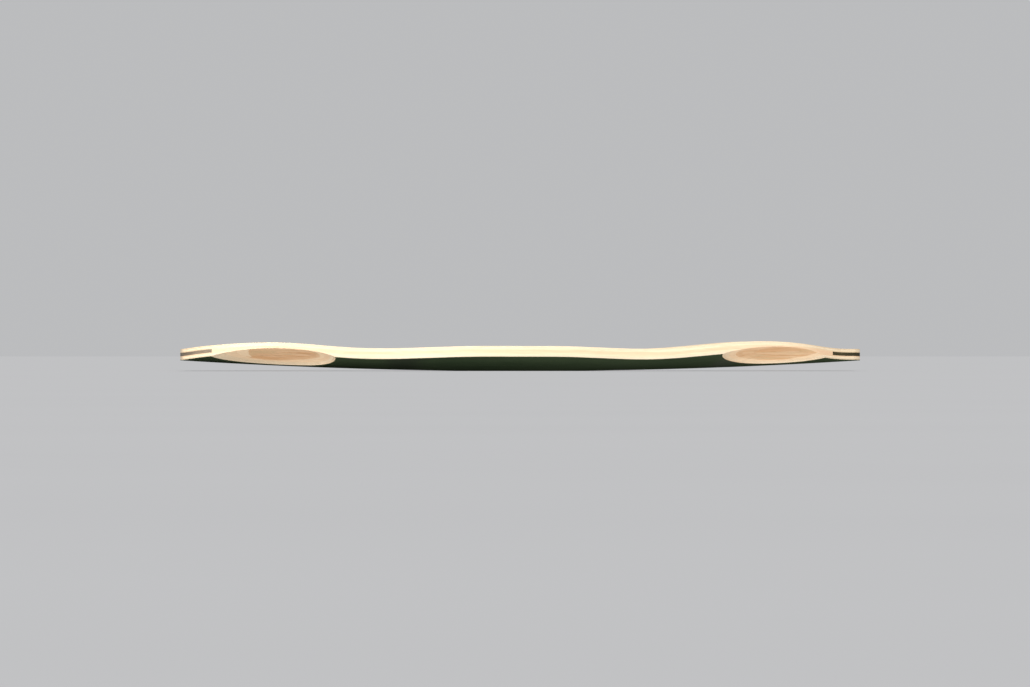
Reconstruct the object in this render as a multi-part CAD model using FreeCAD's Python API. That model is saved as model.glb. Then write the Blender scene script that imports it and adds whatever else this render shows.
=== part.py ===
# Moulded transfer board: nine veneers and a green base facing pressed over one curved mould,
# with a dark insert let into the core at each tip and four finger scoops sanded under the rails.
# Millimetres. +X runs along the board, +Z is up, and the origin is under the middle of the board.
import FreeCAD
import Part
import os

# Overall size
board_length = 760.0
board_width = 232.0

# The mould: a lengthwise rocker, and a flat floor that curls up towards both rails
rocker_rise = 12.0
upsweep_width = 56.0
upsweep_radius = 100.0
rest_flat_depth = 0.3  # sanded off the belly, so that the board stands on a true plane

# The layup, from the underside up
base_thickness = 0.6
pale_veneer_thickness = 1.35
core_veneer_thickness = 1.3
top_edge_radius = 0.4

tip_corner_radius = 14.0
insert_depth = 32.5

# Plan outline of each end: how far each station lies in from the tip, and its half width
# as an inset from the widest half width
left_end = {
    "side": -1,
    "crown": (320.0, 0.6),
    "flank": (268.0, 5.0),
    "waist": (198.0, 9.6),
    "grip": (110.0, 4.1),
    "shoulder": (45.0, 16.0),
    "cheek": (16.0, 30.0),
    "corner": (0.0, 50.0),
    "scoop_setback": 62.0,
    "scoop_inset": -16.2,
    "scoop_lift": 9.9,
    "scoop_slope": 15.4,
    "scoop_pitch": 3.6,
    "scoop_yaw": -15.9,
    "scoop_half_length": 113.0,
    "scoop_half_width": 62.0,
    "scoop_half_depth": 13.2,
}
right_end = {
    "side": 1,
    "crown": (335.0, 0.6),
    "flank": (291.0, 4.5),
    "waist": (236.0, 9.0),
    "grip": (118.0, 0.6),
    "shoulder": (55.0, 16.5),
    "cheek": (28.0, 33.0),
    "corner": (0.0, 46.0),
    "scoop_setback": 88.2,
    "scoop_inset": -18.0,
    "scoop_lift": 16.5,
    "scoop_slope": 14.3,
    "scoop_pitch": -4.0,
    "scoop_yaw": 7.2,
    "scoop_half_length": 77.6,
    "scoop_half_width": 57.7,
    "scoop_half_depth": 9.9,
}
outline_stations = ("crown", "flank", "waist", "grip", "shoulder", "cheek", "corner")

# Room that tools and blanks need around the board
blank_margin = 40.0

half_length = board_length / 2
half_width = board_width / 2
flat_half_width = half_width - upsweep_width
blank_half_length = half_length + blank_margin
blank_half_width = half_width + blank_margin


def belly_height(x):
    # Height of the underside on the centre line
    return rocker_rise * (x / half_length) ** 2 - rest_flat_depth


def mould_face(lift):
    # The rocker is one parabola and the section a flat with a parabola on each side. Their sum is
    # exactly a quadratic surface, so a few poles hold the whole mould.
    end_rise = rocker_rise * (blank_half_length / half_length) ** 2
    curl = (blank_half_width - flat_half_width) ** 2 / (2 * upsweep_radius)
    mid_curl = (flat_half_width + blank_half_width) / 2
    along = ((-blank_half_length, end_rise), (0.0, -end_rise), (blank_half_length, end_rise))
    across = (
        (-blank_half_width, curl),
        (-mid_curl, 0.0),
        (0.0, 0.0),
        (mid_curl, 0.0),
        (blank_half_width, curl),
    )
    poles = []
    for x, rocker in along:
        row = [FreeCAD.Vector(x, y, rocker + section + lift - rest_flat_depth) for y, section in across]
        poles.append(row)
    surface = Part.BSplineSurface()
    surface.buildFromPolesMultsKnots(
        poles,
        [3, 3],
        [3, 1, 1, 3],
        [0.0, 1.0],
        [-blank_half_width, -flat_half_width, flat_half_width, blank_half_width],
        False,
        False,
        2,
        2,
    )
    return surface.toShape()


def rail_points(end):
    # Stations of one end on the front rail, from the middle of the board out to the tip
    points = []
    for station in outline_stations:
        setback, inset = end[station]
        points.append((end["side"] * (half_length - setback), inset - half_width))
    return points


def outline_wire():
    left = rail_points(left_end)
    right = rail_points(right_end)
    front = left[::-1] + [(0.0, -half_width)] + right
    front_points = [FreeCAD.Vector(x, y, 0) for x, y in front]
    rear_points = [FreeCAD.Vector(x, -y, 0) for x, y in front]
    edges = []
    for points in (front_points, rear_points):
        rail = Part.BSplineCurve()
        rail.interpolate(points)
        edges.append(rail.toShape())
    for index in (0, -1):
        edges.append(Part.LineSegment(front_points[index], rear_points[index]).toShape())
    return Part.Wire(Part.sortEdges(edges)[0])


def outline_prism():
    height = 4 * blank_margin
    prism = Part.Face(outline_wire()).extrude(FreeCAD.Vector(0, 0, height))
    prism.translate(FreeCAD.Vector(0, 0, -height / 2))
    corners = [edge for edge in prism.Edges if abs(edge.BoundBox.ZLength - height) < 1e-3]
    return prism.makeFillet(tip_corner_radius, corners)


def scoop_cutter(end, rail_side):
    # A flattened ellipsoid, tilted up towards the rail and turned a little along it
    centre_x = end["side"] * (half_length - end["scoop_setback"])
    centre_y = rail_side * (half_width - end["scoop_inset"])
    centre_z = belly_height(centre_x) + end["scoop_lift"]
    stretch = FreeCAD.Matrix()
    stretch.scale(end["scoop_half_length"], end["scoop_half_width"], end["scoop_half_depth"])
    cutter = Part.makeSphere(1.0).transformGeometry(stretch)
    origin = FreeCAD.Vector(0, 0, 0)
    cutter.rotate(origin, FreeCAD.Vector(1, 0, 0), rail_side * end["scoop_slope"])
    cutter.rotate(origin, FreeCAD.Vector(0, 1, 0), end["scoop_pitch"])
    cutter.rotate(origin, FreeCAD.Vector(0, 0, 1), rail_side * end["scoop_yaw"])
    cutter.translate(FreeCAD.Vector(centre_x, centre_y, centre_z))
    return cutter


def sheet(bottom, thickness):
    # One layer of the blank: the mould face at this height, thickened straight up
    return mould_face(bottom).extrude(FreeCAD.Vector(0, 0, thickness))


def tip_zone(end):
    # Everything beyond the straight inner edge of an insert
    depth = insert_depth + blank_margin
    size = FreeCAD.Vector(depth, 2 * blank_half_width, 4 * blank_margin)
    inner_x = half_length - insert_depth
    start_x = inner_x if end["side"] > 0 else -inner_x - depth
    corner = FreeCAD.Vector(start_x, -size.y / 2, -size.z / 2)
    return Part.makeBox(size.x, size.y, size.z, corner)


def ease_top_edge(veneer):
    # Round the outline of the top face. The top face is the one whose centre lies highest.
    top = max(veneer.Faces, key=lambda face: face.CenterOfMass.z)
    return veneer.makeFillet(top_edge_radius, top.OuterWire.Edges)


def save(shape, node):
    solids = shape.Solids
    result = solids[0] if len(solids) == 1 else Part.Compound(solids)
    result.exportStep("parts/" + node + ".step")
    print(node, "solids", len(solids), "valid", result.isValid(), "volume", round(result.Volume))


layers = (
    ("base_laminate", base_thickness, False),
    ("bottom_face_veneer", pale_veneer_thickness, False),
    ("bottom_cross_veneer", pale_veneer_thickness, False),
    ("bottom_inner_veneer", pale_veneer_thickness, False),
    ("lower_core_veneer", core_veneer_thickness, True),
    ("middle_core_veneer", core_veneer_thickness, True),
    ("upper_core_veneer", core_veneer_thickness, True),
    ("top_inner_veneer", pale_veneer_thickness, False),
    ("top_cross_veneer", pale_veneer_thickness, False),
    ("top_face_veneer", pale_veneer_thickness, False),
)

os.makedirs("parts", exist_ok=True)
prism = outline_prism()
scoops = [scoop_cutter(end, rail) for end in (left_end, right_end) for rail in (-1, 1)]
tips = [tip_zone(left_end), tip_zone(right_end)]
below_floor = Part.makeBox(
    2 * blank_half_length,
    2 * blank_half_width,
    blank_margin,
    FreeCAD.Vector(-blank_half_length, -blank_half_width, -blank_margin),
)

bottom = 0.0
core_bottom = None
core_top = None
for node, thickness, is_core in layers:
    ply = sheet(bottom, thickness).common(prism)
    ply = ply.cut(scoops + [below_floor])
    if is_core:
        ply = ply.cut(tips)
        if core_bottom is None:
            core_bottom = bottom
        core_top = bottom + thickness
    if node == "top_face_veneer":
        ply = ease_top_edge(ply)
    save(ply, node)
    bottom = bottom + thickness

insert_sheet = sheet(core_bottom, core_top - core_bottom).common(prism).cut(scoops)
for node, tip in (("left_tip_insert", tips[0]), ("right_tip_insert", tips[1])):
    save(insert_sheet.common(tip), node)
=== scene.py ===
import bpy
import math
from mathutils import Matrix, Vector


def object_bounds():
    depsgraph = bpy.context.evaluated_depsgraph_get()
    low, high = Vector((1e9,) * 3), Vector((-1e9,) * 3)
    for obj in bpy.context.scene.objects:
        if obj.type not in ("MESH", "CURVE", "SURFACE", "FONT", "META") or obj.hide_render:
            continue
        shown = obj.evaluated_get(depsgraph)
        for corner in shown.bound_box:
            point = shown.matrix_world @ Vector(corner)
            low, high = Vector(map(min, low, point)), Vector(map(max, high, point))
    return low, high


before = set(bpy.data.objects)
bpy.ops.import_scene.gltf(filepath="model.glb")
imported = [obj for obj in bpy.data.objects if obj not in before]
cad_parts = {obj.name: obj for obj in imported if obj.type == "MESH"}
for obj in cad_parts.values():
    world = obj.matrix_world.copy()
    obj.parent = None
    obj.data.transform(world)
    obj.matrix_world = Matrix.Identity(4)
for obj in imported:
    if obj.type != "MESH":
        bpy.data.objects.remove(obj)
cadLow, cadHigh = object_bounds()
bpy.ops.object.select_all(action="DESELECT")

millimetre = 0.001

# The pressing mould, so that a finish knows how high in the layup each point lies
mould = {
    "rockerRise": 12 * millimetre,
    "upsweepWidth": 56 * millimetre,
    "upsweepRadius": 100 * millimetre,
    "restFlat": 0.3 * millimetre,
}
halfLength = (cadHigh.x - cadLow.x) / 2
flatHalfWidth = (cadHigh.y - cadLow.y) / 2 - mould["upsweepWidth"]

# Layer by layer from the underside up: node, sheet, which way its grain runs, and its wood
thickness = {"facing": 0.6 * millimetre, "pale": 1.35 * millimetre, "core": 1.3 * millimetre}
layup = (
    ("base_laminate", "facing", "none", "laminate"),
    ("bottom_face_veneer", "pale", "long", "linen"),
    ("bottom_cross_veneer", "pale", "cross", "straw"),
    ("bottom_inner_veneer", "pale", "long", "peach"),
    ("lower_core_veneer", "core", "long", "tan"),
    ("middle_core_veneer", "core", "long", "tan"),
    ("upper_core_veneer", "core", "long", "tan"),
    ("top_inner_veneer", "pale", "long", "cream"),
    ("top_cross_veneer", "pale", "cross", "straw"),
    ("top_face_veneer", "pale", "long", "cream"),
)


class Socket:
    # One output of a node. Maths on it reads as a plain expression.
    def __init__(self, finish, link):
        self.finish = finish
        self.link = link

    def maths(self, operation, first, second=0.0):
        return self.finish.node("ShaderNodeMath", {"operation": operation}, {0: first, 1: second})

    def __add__(self, other):
        return self.maths("ADD", self, other)

    def __radd__(self, other):
        return self.maths("ADD", other, self)

    def __sub__(self, other):
        return self.maths("SUBTRACT", self, other)

    def __rsub__(self, other):
        return self.maths("SUBTRACT", other, self)

    def __mul__(self, other):
        return self.maths("MULTIPLY", self, other)

    def __rmul__(self, other):
        return self.maths("MULTIPLY", other, self)

    def __truediv__(self, other):
        return self.maths("DIVIDE", self, other)

    def __pow__(self, other):
        return self.maths("POWER", self, other)

    def atLeast(self, other):
        return self.maths("MAXIMUM", self, other)

    def size(self):
        return self.maths("ABSOLUTE", self)


class Finish:
    # One material, built round a Principled shader
    def __init__(self, name, **fixed):
        self.material = bpy.data.materials.new(name)
        self.material.use_nodes = True
        self.tree = self.material.node_tree
        self.tree.nodes.clear()
        self.shader = self.tree.nodes.new("ShaderNodeBsdfPrincipled")
        output = self.tree.nodes.new("ShaderNodeOutputMaterial")
        self.tree.links.new(self.shader.outputs[0], output.inputs["Surface"])
        for socket, value in fixed.items():
            self.shader.inputs[socket.replace("_", " ")].default_value = value
        self.place = self.node("ShaderNodeTexCoord", {}, {}, "Object")
        normal = self.node("ShaderNodeTexCoord", {}, {}, "Normal")
        self.x, self.y, self.z = (self.component(self.place, axis) for axis in (0, 1, 2))
        self.faceX, self.faceZ = (self.component(normal, axis) for axis in (0, 2))

    def node(self, kind, settings, inputs, output=0):
        made = self.tree.nodes.new(kind)
        for name, value in settings.items():
            setattr(made, name, value)
        for key, value in inputs.items():
            if isinstance(value, Socket):
                self.tree.links.new(value.link, made.inputs[key])
            else:
                made.inputs[key].default_value = value
        return Socket(self, made.outputs[output])

    def component(self, vector, axis):
        return self.node("ShaderNodeSeparateXYZ", {}, {0: vector}, axis)

    def stretch(self, perX, perY, perZ, shift=0.0):
        # Object place times so many cycles a metre along each axis. The shift differs along the
        # three axes, so that no two patterns line up.
        cycles = (perX, perY, perZ)
        offset = (shift, shift * 0.7, shift * 1.3)
        scaled = self.node("ShaderNodeVectorMath", {"operation": "MULTIPLY"}, {0: self.place, 1: cycles})
        return self.node("ShaderNodeVectorMath", {"operation": "ADD"}, {0: scaled, 1: offset})

    def noise(self, vector, detail=3.0, roughness=0.5, distortion=0.0):
        inputs = {
            "Vector": vector,
            "Scale": 1.0,
            "Detail": detail,
            "Roughness": roughness,
            "Distortion": distortion,
        }
        return self.node("ShaderNodeTexNoise", {}, inputs)

    def lineNoise(self, value, detail=2.0, roughness=0.5):
        inputs = {"W": value, "Scale": 1.0, "Detail": detail, "Roughness": roughness}
        return self.node("ShaderNodeTexNoise", {"noise_dimensions": "1D"}, inputs)

    def step(self, value, low, high):
        # 0 below low, 1 above high, smooth between
        inputs = {"Value": value, "From Min": low, "From Max": high, "To Min": 0.0, "To Max": 1.0}
        return self.node("ShaderNodeMapRange", {"interpolation_type": "SMOOTHSTEP"}, inputs)

    def mix(self, factor, first, second):
        # Colours go from first to second as the factor goes from 0 to 1
        first = first if isinstance(first, Socket) else (*first, 1.0)
        second = second if isinstance(second, Socket) else (*second, 1.0)
        settings = {"data_type": "RGBA", "clamp_factor": True}
        return self.node("ShaderNodeMix", settings, {0: factor, 6: first, 7: second}, 2)

    def bump(self, height, distance):
        return self.node("ShaderNodeBump", {}, {"Height": height, "Distance": distance, "Strength": 1.0})

    def feed(self, **links):
        for name, value in links.items():
            self.tree.links.new(value.link, self.shader.inputs[name.replace("_", " ")])

    def layupHeight(self):
        # How far above the mould a point lies, and so in which layer
        rocker = (self.x / halfLength) ** 2 * mould["rockerRise"]
        curl = (self.y.size() - flatHalfWidth).atLeast(0.0) ** 2 / (2 * mould["upsweepRadius"])
        return self.z - rocker - curl + mould["restFlat"]

    def dress(self, nodeName):
        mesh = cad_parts[nodeName].data
        mesh.materials.clear()
        mesh.materials.append(self.material)


# Colours of each veneer, and how strongly its glue line, growth rings and streaks show
woods = {
    "cream": {
        "light": (0.86, 0.71, 0.485),
        "deep": (0.79, 0.61, 0.385),
        "line": (0.60, 0.42, 0.25),
        "glue": 0.40,
        "rings": 0.26,
        "streaks": 0.24,
    },
    "linen": {
        "light": (0.75, 0.635, 0.47),
        "deep": (0.67, 0.54, 0.375),
        "line": (0.56, 0.41, 0.26),
        "glue": 0.35,
        "rings": 0.18,
        "streaks": 0.24,
    },
    "straw": {
        "light": (0.80, 0.665, 0.475),
        "deep": (0.70, 0.545, 0.37),
        "line": (0.53, 0.38, 0.24),
        "glue": 0.40,
        "rings": 0.16,
        "streaks": 0.24,
    },
    "peach": {
        "light": (0.85, 0.665, 0.455),
        "deep": (0.78, 0.555, 0.35),
        "line": (0.60, 0.39, 0.225),
        "glue": 0.15,
        "rings": 0.20,
        "streaks": 0.34,
    },
    "tan": {
        "light": (0.80, 0.57, 0.36),
        "deep": (0.66, 0.385, 0.195),
        "line": (0.47, 0.255, 0.12),
        "glue": 0.12,
        "rings": 0.30,
        "streaks": 0.80,
    },
}

# Patterns drawn out along the grain. Their size is in cycles a metre along the grain, across it
# and through the sheet, their shift is a multiple of the sheet's seed, and their noise is its
# detail, roughness and distortion.
fibres = {
    "wander": {"size": (2.2, 7.0, 7.0), "shift": 1.0, "noise": (2.0,)},
    "broad": {"size": (3.0, 22.0, 60.0), "shift": 2.0, "noise": (2.0,)},
    "patch": {"size": (10.0, 55.0, 150.0), "shift": 2.0, "noise": (2.0,)},
    "streak": {"size": (22.0, 150.0, 380.0), "shift": 3.0, "noise": (3.0, 0.55, 0.3)},
    "fine": {"size": (11.0, 420.0, 900.0), "shift": 3.5, "noise": (3.0, 0.55)},
    "hair": {"size": (55.0, 2600.0, 2600.0), "shift": 4.0, "noise": (2.0, 0.6)},
    "pore": {"size": (130.0, 3800.0, 3800.0), "shift": 5.0, "noise": (1.0,)},
    "mineral": {"size": (9.0, 260.0, 60.0), "shift": 7.0, "noise": (2.0,)},
    "olive": {"size": (13.0, 85.0, 200.0), "shift": 8.0, "noise": (2.0,)},
}
tree = {
    "ringsPerMetre": 150.0,
    "depth": 0.045,  # how far the heart lies under the sheet
    "tilt": 0.16,
    "depthStretch": 2.0,
    "wander": 0.05,
    "offHeart": 0.03,  # most that a sheet lies to one side of the heart
}
glueLine = {"colour": (0.42, 0.27, 0.14), "width": 0.07 * millimetre}
# endGrainAndShade darkens the tips: partly the darker end grain, partly painted shade on tip faces turned
# from the light
surface = {"relief": 0.035 * millimetre, "coatRoughness": 0.28, "endGrainAndShade": 0.60}
core = {
    "olive": (0.60, 0.46, 0.26),
    "oliveShare": 0.5,
    "railHighlightTan": (0.86, 0.64, 0.44),  # painted highlight: these sheets are painted paler on the upright, lit rail than on the scoops
    "railHighlightShare": 0.48,
}
scoop = {
    "leftFeather": 0.25 * millimetre,  # depth of the pale fibres left on the core at each end
    "rightFeather": 0.95 * millimetre,
    "paleTail": (-0.311, -0.301),  # the left-hand scoops keep more pale fibre towards the tip
    "tailDepth": 2.4 * millimetre,
    "wedgeDepth": 0.9 * millimetre,  # thickness of pale veneer that lets the core show through
    "hairline": 0.01 * millimetre,
    "endSlope": 0.12,
    "paleShare": 0.92,
    "wedgeShare": 0.85,
}
scoopEdgeNodes = ("bottom_inner_veneer", "lower_core_veneer")


def fibreField(finish, name, grain, seed):
    fibre = fibres[name]
    length, width, depth = fibre["size"]
    perX, perY = (length, width) if grain == "long" else (width, length)
    return finish.noise(finish.stretch(perX, perY, depth, shift=seed * fibre["shift"]), *fibre["noise"])


def growthRings(finish, grain, seed):
    # Rings round the heart of the tree, cut by a sheet that lies at a slight tilt to it
    lengthwise, sideways = (finish.x, finish.y) if grain == "long" else (finish.y, finish.x)
    wander = fibreField(finish, "wander", grain, seed) - 0.5
    aside = seed * 0.013 % (2 * tree["offHeart"]) - tree["offHeart"]
    across = sideways + wander * tree["wander"] + aside
    depth = lengthwise * tree["tilt"] + finish.z * tree["depthStretch"] + tree["depth"]
    radius = (across * across + depth * depth) ** 0.5
    return finish.lineNoise(radius * tree["ringsPerMetre"] + seed, 2.5, 0.6)


def facesDown(finish):
    return finish.step(finish.faceZ * -1.0, 0.5, 0.8)


def facesUp(finish):
    return finish.step(finish.faceZ, 0.80, 0.95)


def glueMask(finish, nodeName, bottom, top):
    # Thin amber lines where two layers meet, on every cut through the layup
    height = finish.layupHeight()
    width = glueLine["width"]
    mask = 1.0 - finish.step((height - bottom).size(), 0.3 * width, width)
    if nodeName == "top_face_veneer":
        return mask * (1.0 - facesUp(finish))
    mask = mask.atLeast(1.0 - finish.step((height - top).size(), 0.3 * width, width))
    if nodeName in scoopEdgeNodes:
        mask = mask * (1.0 - facesDown(finish))
    return mask


def sandedThrough(finish, nodeName, colour, bottom, top, seed):
    # Where a scoop only just breaks into the core, pale fibres stay at its two ends, and the last
    # thin wedge of pale veneer along its side lets the tan core show through
    toLeft = finish.faceX / scoop["endSlope"]
    toRight = finish.faceX / -scoop["endSlope"]
    tail = 1.0 - finish.step(finish.x, *scoop["paleTail"])
    ragged = finish.noise(finish.stretch(60.0, 240.0, 240.0, shift=seed * 6), 3.0, 0.6) * 1.2 + 0.4
    height = finish.layupHeight()
    if nodeName == "lower_core_veneer":
        leftEnd = finish.step(toLeft, 0.35, 1.0) * scoop["leftFeather"]
        rightEnd = finish.step(toRight, 0.35, 1.0) * scoop["rightFeather"]
        feather = (leftEnd + rightEnd + tail * scoop["tailDepth"]) * ragged + scoop["hairline"]
        pale = 1.0 - finish.step(height - bottom, feather * 0.7, feather)
        return finish.mix(pale * facesDown(finish) * scoop["paleShare"], colour, woods["peach"]["light"])
    offEnds = (1.0 - finish.step(toRight, 0.1, 0.5)) * (1.0 - finish.step(toLeft, 0.8, 1.5))
    wedge = offEnds * (1.0 - tail) * ragged * scoop["wedgeDepth"] + scoop["hairline"]
    shows = 1.0 - finish.step(top - height, wedge * 0.3, wedge)
    return finish.mix(shows * facesDown(finish) * scoop["wedgeShare"], colour, woods["tan"]["deep"])


def lacquerSeat(finish, tone, colour, roughness, relief):
    # The seat face carries a satin lacquer, rubbed duller along the middle where people slide
    faceUp = facesUp(finish)
    slide = finish.noise(finish.stretch(7.0, 26.0, 1.0, shift=5.0), 3.0, 0.6)
    middle = 1.0 - finish.step(finish.y.size(), 0.2 * flatHalfWidth, 1.6 * flatHalfWidth)
    rubbed = finish.step(slide + middle * 0.25, 0.55, 0.85)
    scratchLines = finish.noise(finish.stretch(8.0, 1500.0, 1.0, shift=2.0), 1.0, 0.5, 0.2)
    scratch = finish.step(scratchLines, 0.70, 0.76) * rubbed
    curl = finish.noise(finish.stretch(95.0, 9.0, 9.0, shift=6.0), 1.0, 0.5, 0.4)
    colour = finish.mix(finish.step(curl, 0.35, 0.65) * 0.10, colour, tone["deep"])
    colour = finish.mix(rubbed * 0.14 + scratch * 0.20, colour, tone["line"])
    finish.feed(Coat_Weight=faceUp * (0.45 - rubbed * 0.25))
    roughness = roughness - faceUp * 0.10 + rubbed * 0.08 + scratch * 0.12
    return colour, roughness, relief - scratch * 0.9


def veneerFinish(nodeName, bottom, top, grain, wood, seed):
    finish = Finish(
        nodeName + "Finish",
        Coat_Roughness=surface["coatRoughness"],
        IOR=1.5,
        Specular_IOR_Level=0.35,
    )
    tone = woods[wood]

    # Broad tone, soft streaks, growth rings, fibres, open pores and a few mineral streaks
    broad = fibreField(finish, "patch" if wood == "tan" else "broad", grain, seed)
    streak = fibreField(finish, "streak", grain, seed)
    fine = fibreField(finish, "fine", grain, seed)
    hair = fibreField(finish, "hair", grain, seed)
    pore = finish.step(fibreField(finish, "pore", grain, seed), 0.66, 0.74)
    mineral = finish.step(fibreField(finish, "mineral", grain, seed), 0.73, 0.80)
    rings = finish.step(growthRings(finish, grain, seed), 0.5, 0.72)
    marks = (
        (finish.step(broad, 0.25, 0.75), 0.75, "deep"),
        (finish.step(streak, 0.46, 0.68), tone["streaks"], "deep"),
        (finish.step(streak, 0.50, 0.28), tone["streaks"], "light"),
        (rings, tone["rings"], "line"),
        (finish.step(fine, 0.50, 0.74), tone["streaks"] * 0.7, "line"),
        (finish.step(hair, 0.5, 0.75), 0.20, "line"),
        (pore, 0.30, "line"),
        (mineral, 0.35, "line"),
    )
    colour = tone["light"]
    for mask, strength, paint in marks:
        colour = finish.mix(mask * strength, colour, tone[paint])

    if grain == "long":
        # the cut across the grain at the two tips drinks more lacquer and looks darker; this mix, keyed
        # to faces that point along the board, is also painted shade on the tip faces that turn away from
        # the light
        endGrainAndShade = finish.step(finish.faceX.size(), 0.12, 0.6)
        colour = finish.mix(endGrainAndShade * surface["endGrainAndShade"], colour, tone["line"])
    if wood == "tan":
        olive = finish.step(fibreField(finish, "olive", grain, seed), 0.50, 0.70)
        colour = finish.mix(olive * core["oliveShare"], colour, core["olive"])
        # painted highlight: the core is painted paler on upright faces, where the light strikes the rail
        uprightHighlight = 1.0 - finish.step(finish.faceZ.size(), 0.1, 0.3)
        colour = finish.mix(uprightHighlight * core["railHighlightShare"], colour, core["railHighlightTan"])
    if nodeName in scoopEdgeNodes:
        colour = sandedThrough(finish, nodeName, colour, bottom, top, seed)

    relief = hair * 0.5 + fine * 0.4 - pore * 0.8
    roughness = 0.44 + hair * 0.16 + pore * 0.15
    if nodeName == "top_face_veneer":
        colour, roughness, relief = lacquerSeat(finish, tone, colour, roughness, relief)
    glue = glueMask(finish, nodeName, bottom, top)
    colour = finish.mix(glue * tone["glue"], colour, glueLine["colour"])
    bump = finish.bump(relief - glue * 0.5, surface["relief"])
    finish.feed(Base_Color=colour, Roughness=roughness, Normal=bump)
    finish.dress(nodeName)


laminate = {
    "green": (0.021, 0.034, 0.015),
    "lightGreen": (0.034, 0.049, 0.024),
    "rub": (0.058, 0.058, 0.050),
    "soot": (0.014, 0.015, 0.011),
    "bands": (  # place along the board, half width, slant, colour, strength
        (-0.126, 0.030, 0.10, "soot", 0.55),
        (0.190, 0.022, -0.45, "rub", 0.35),
    ),
    "cloud": (5.0, 14.0, 14.0),  # patterns, in cycles a metre along each axis
    "grain": (14.0, 420.0, 900.0),
    "grit": (1500.0, 1500.0, 1500.0),
    "scuff": (6.0, 900.0, 300.0),
    "fleck": (240.0, 300.0, 300.0),
    "bellyHeight": 4 * millimetre,  # rubbed most below this, where it stands
    "relief": 0.03 * millimetre,
}


def laminateFinish():
    finish = Finish("oliveLaminate", IOR=1.45, Specular_IOR_Level=0.12)
    cloud = finish.noise(finish.stretch(*laminate["cloud"]), 4.0, 0.6)
    grain = finish.noise(finish.stretch(*laminate["grain"], shift=6.0), 3.0, 0.6)
    grit = finish.noise(finish.stretch(*laminate["grit"]), 2.0, 0.7)
    scuff = finish.noise(finish.stretch(*laminate["scuff"], shift=3.0), 2.0, 0.6)
    fleck = finish.noise(finish.stretch(*laminate["fleck"], shift=9.0), 1.0)
    colour = finish.mix(finish.step(cloud, 0.3, 0.7), laminate["green"], laminate["lightGreen"])
    colour = finish.mix(finish.step(grain, 0.42, 0.66) * 0.45, colour, laminate["lightGreen"])

    # Two soft stains near the rails, with wavering edges
    waver = (cloud - 0.5) * 0.06
    nearRail = finish.step(finish.y.size(), 0.6 * flatHalfWidth, 1.6 * flatHalfWidth)
    for place, width, slant, tone, strength in laminate["bands"]:
        off = (finish.x + waver - place + finish.y.size() * slant).size()
        band = 1.0 - finish.step(off, 0.2 * width, width)
        colour = finish.mix(band * nearRail * strength, colour, laminate[tone])

    scuffMask = finish.step(scuff, 0.62, 0.76)
    onBelly = 1.0 - finish.step(finish.z, 0.0, laminate["bellyHeight"])
    colour = finish.mix(scuffMask * (0.35 + onBelly * 0.40), colour, laminate["rub"])
    colour = finish.mix(finish.step(fleck, 0.72, 0.78) * 0.25, colour, laminate["rub"])
    roughness = 0.64 + grit * 0.14 - scuffMask * 0.1 - onBelly * 0.08
    bump = finish.bump(grit * 0.7 + grain * 0.6 - scuffMask * 0.5, laminate["relief"])
    finish.feed(Base_Color=colour, Roughness=roughness, Normal=bump)
    finish.dress("base_laminate")


insertSurface = {
    "streak": (30.0, 160.0, 1100.0),  # cycles a metre along each axis
    "grit": (900.0, 1300.0, 2200.0),
    "relief": 0.03 * millimetre,
    "shadedTip": 22 * millimetre,  # painted shade: darker this close to the tip, where the end turns away from the light
    "tipShadeShare": 0.60,
}
inserts = {
    "left_tip_insert": {
        "brown": (0.175, 0.130, 0.084),
        "light": (0.265, 0.205, 0.145),
        "dark": (0.055, 0.041, 0.029),
        "seed": 4.0,
    },
    "right_tip_insert": {
        "brown": (0.028, 0.023, 0.008),
        "light": (0.056, 0.043, 0.018),
        "dark": (0.018, 0.016, 0.007),
        "seed": 11.0,
    },
}


def insertFinish(nodeName, tone):
    finish = Finish(nodeName + "Finish", IOR=1.5, Specular_IOR_Level=0.2)
    streak = finish.noise(finish.stretch(*insertSurface["streak"], shift=tone["seed"]), 3.0, 0.6)
    grit = finish.noise(finish.stretch(*insertSurface["grit"], shift=tone["seed"] * 2), 2.0, 0.7)
    colour = finish.mix(finish.step(streak, 0.35, 0.65), tone["brown"], tone["light"])
    # painted shade on the insert towards the tip
    tipShadeMask = finish.step(finish.x.size(), halfLength - insertSurface["shadedTip"], halfLength)
    colour = finish.mix(tipShadeMask * insertSurface["tipShadeShare"], colour, tone["dark"])
    colour = finish.mix(finish.step(grit, 0.55, 0.75) * 0.4, colour, tone["dark"])
    bump = finish.bump(grit + streak, insertSurface["relief"])
    finish.feed(Base_Color=colour, Roughness=0.55 + grit * 0.2, Normal=bump)
    finish.dress(nodeName)


height = 0.0
for index, (nodeName, sheet, grain, wood) in enumerate(layup):
    top = height + thickness[sheet]
    seed = 1.7 + 2.3 * index  # gives each sheet its own figure
    if wood == "laminate":
        laminateFinish()
    else:
        veneerFinish(nodeName, height, top, grain, wood, seed)
    height = top
for nodeName, tone in inserts.items():
    insertFinish(nodeName, tone)
print("finishes done")

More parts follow.
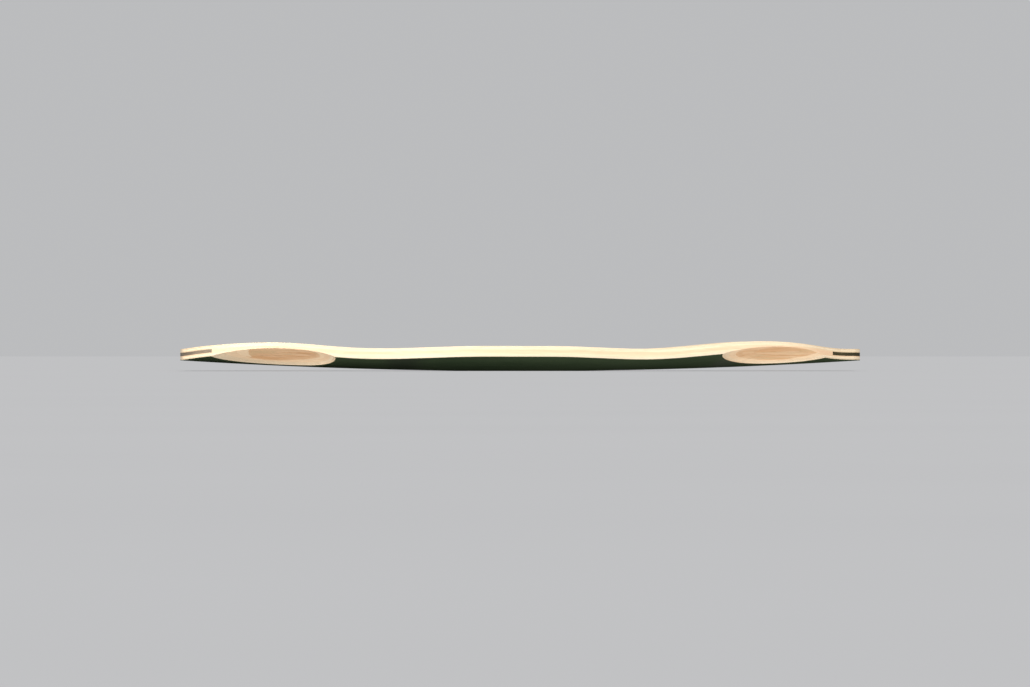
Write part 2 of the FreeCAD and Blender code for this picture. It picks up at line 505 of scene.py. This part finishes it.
# The studio: a wide pale floor, an even backdrop, a soft top light, a low soft key and its helper
# from the front left, and a light below the table for the right-hand scoops
studio = {
    "floorSize": 900.0,
    "floorDrop": 0.1 * millimetre,  # keeps the floor off the plane of the belly
    "floorColour": (0.57, 0.57, 0.575),
    "floorDeep": (0.55, 0.55, 0.555),
    "backdrop": (0.50, 0.505, 0.515),
    "topStrength": 1.5,
    "topAzimuth": -15.0,
    "topElevation": 72.0,
    "topDistance": 3.0,
    "topSpread": 60.0,
}
softLights = {
    "keyLight": {
        "place": (-0.62, -0.95, 0.12),
        "aim": (-0.16, -0.11, 0.03),
        "size": (0.50, 0.20),
        "spread": 100.0,
        "power": 2.95,
    },
    "sideLight": {
        "place": (-1.20, -0.45, 0.12),
        "aim": (-0.36, -0.08, 0.03),
        "size": (0.40, 0.20),
        "spread": 60.0,
        "power": 0.2,
    },
    "tableLight": {  # shines up through the table at the right-hand scoops
        "place": (0.60, -0.76, -0.48),
        "aim": (0.24, -0.11, 0.03),
        "size": (0.60, 0.30),
        "spread": 110.0,
        "power": 2.0,
    },
}

bpy.ops.mesh.primitive_plane_add(size=studio["floorSize"], location=(0, 0, -studio["floorDrop"]))
floor = bpy.context.object
floor.name = "floor"
bpy.ops.object.mode_set(mode="EDIT")
bpy.ops.mesh.subdivide(number_cuts=3)
bpy.ops.object.mode_set(mode="OBJECT")
floorFinish = Finish("paleFloor", Roughness=0.9, Specular_IOR_Level=0.0)
floorTone = floorFinish.noise(floorFinish.stretch(3.0, 3.0, 3.0), 3.0)
floorFinish.feed(Base_Color=floorFinish.mix(floorTone, studio["floorColour"], studio["floorDeep"]))
floor.data.materials.append(floorFinish.material)

world = bpy.data.worlds.new("studioLight")
world.use_nodes = True
backdrop = world.node_tree.nodes["Background"]
backdrop.inputs["Color"].default_value = (*studio["backdrop"], 1.0)
backdrop.inputs["Strength"].default_value = 1.0
bpy.context.scene.world = world


def direction(azimuth, elevation):
    # Unit vector from the board out to something at this bearing; azimuth 0 is in front
    turn = math.radians(azimuth)
    rise = math.radians(elevation)
    return Vector((math.sin(turn) * math.cos(rise), -math.cos(turn) * math.cos(rise), math.sin(rise)))


def addLight(kind, name, place, aim, **settings):
    place = Vector(place)
    bpy.ops.object.light_add(type=kind, location=place)
    light = bpy.context.object
    light.name = name
    light.rotation_mode = "QUATERNION"
    light.rotation_quaternion = (Vector(aim) - place).to_track_quat("-Z", "Y")
    for setting, value in settings.items():
        setattr(light.data, setting, value)
    return light


topPlace = direction(studio["topAzimuth"], studio["topElevation"]) * studio["topDistance"]
topSpread = math.radians(studio["topSpread"])
addLight("SUN", "topLight", topPlace, (0, 0, 0), energy=studio["topStrength"], angle=topSpread)

# The soft lights reach the board alone, so the floor stays even and doesn't stop the low one
boardOnly = bpy.data.collections.new("boardOnly")
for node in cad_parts.values():
    boardOnly.objects.link(node)
for name, setup in softLights.items():
    width, tall = setup["size"]
    shape = {"shape": "RECTANGLE", "size": width, "size_y": tall, "spread": math.radians(setup["spread"])}
    light = addLight("AREA", name, setup["place"], setup["aim"], energy=setup["power"], **shape)
    light.visible_camera = False
    light.light_linking.receiver_collection = boardOnly
    light.light_linking.blocker_collection = boardOnly
bpy.context.scene.view_settings.view_transform = "Standard"

# The camera stands at board height, far off, and sees the long edge
view = {
    "azimuth": -2.8,
    "elevation": 0.0,
    "distance": 12.0,
    "boardShare": 0.6555,
    "shift": (-0.0038, 0.0122),
    "farthest": 1000.0,
}
away = direction(view["azimuth"], view["elevation"])
bpy.ops.object.camera_add(location=(cadLow + cadHigh) / 2 + away * view["distance"])
camera = bpy.context.object
camera.name = "camera"
camera.rotation_mode = "QUATERNION"
camera.rotation_quaternion = (-away).to_track_quat("-Z", "Y")
frameWidth = 2 * halfLength / view["boardShare"]
camera.data.lens = camera.data.sensor_width * view["distance"] / frameWidth
camera.data.shift_x, camera.data.shift_y = view["shift"]
camera.data.clip_end = view["farthest"]
bpy.context.scene.camera = camera
print("studio done")
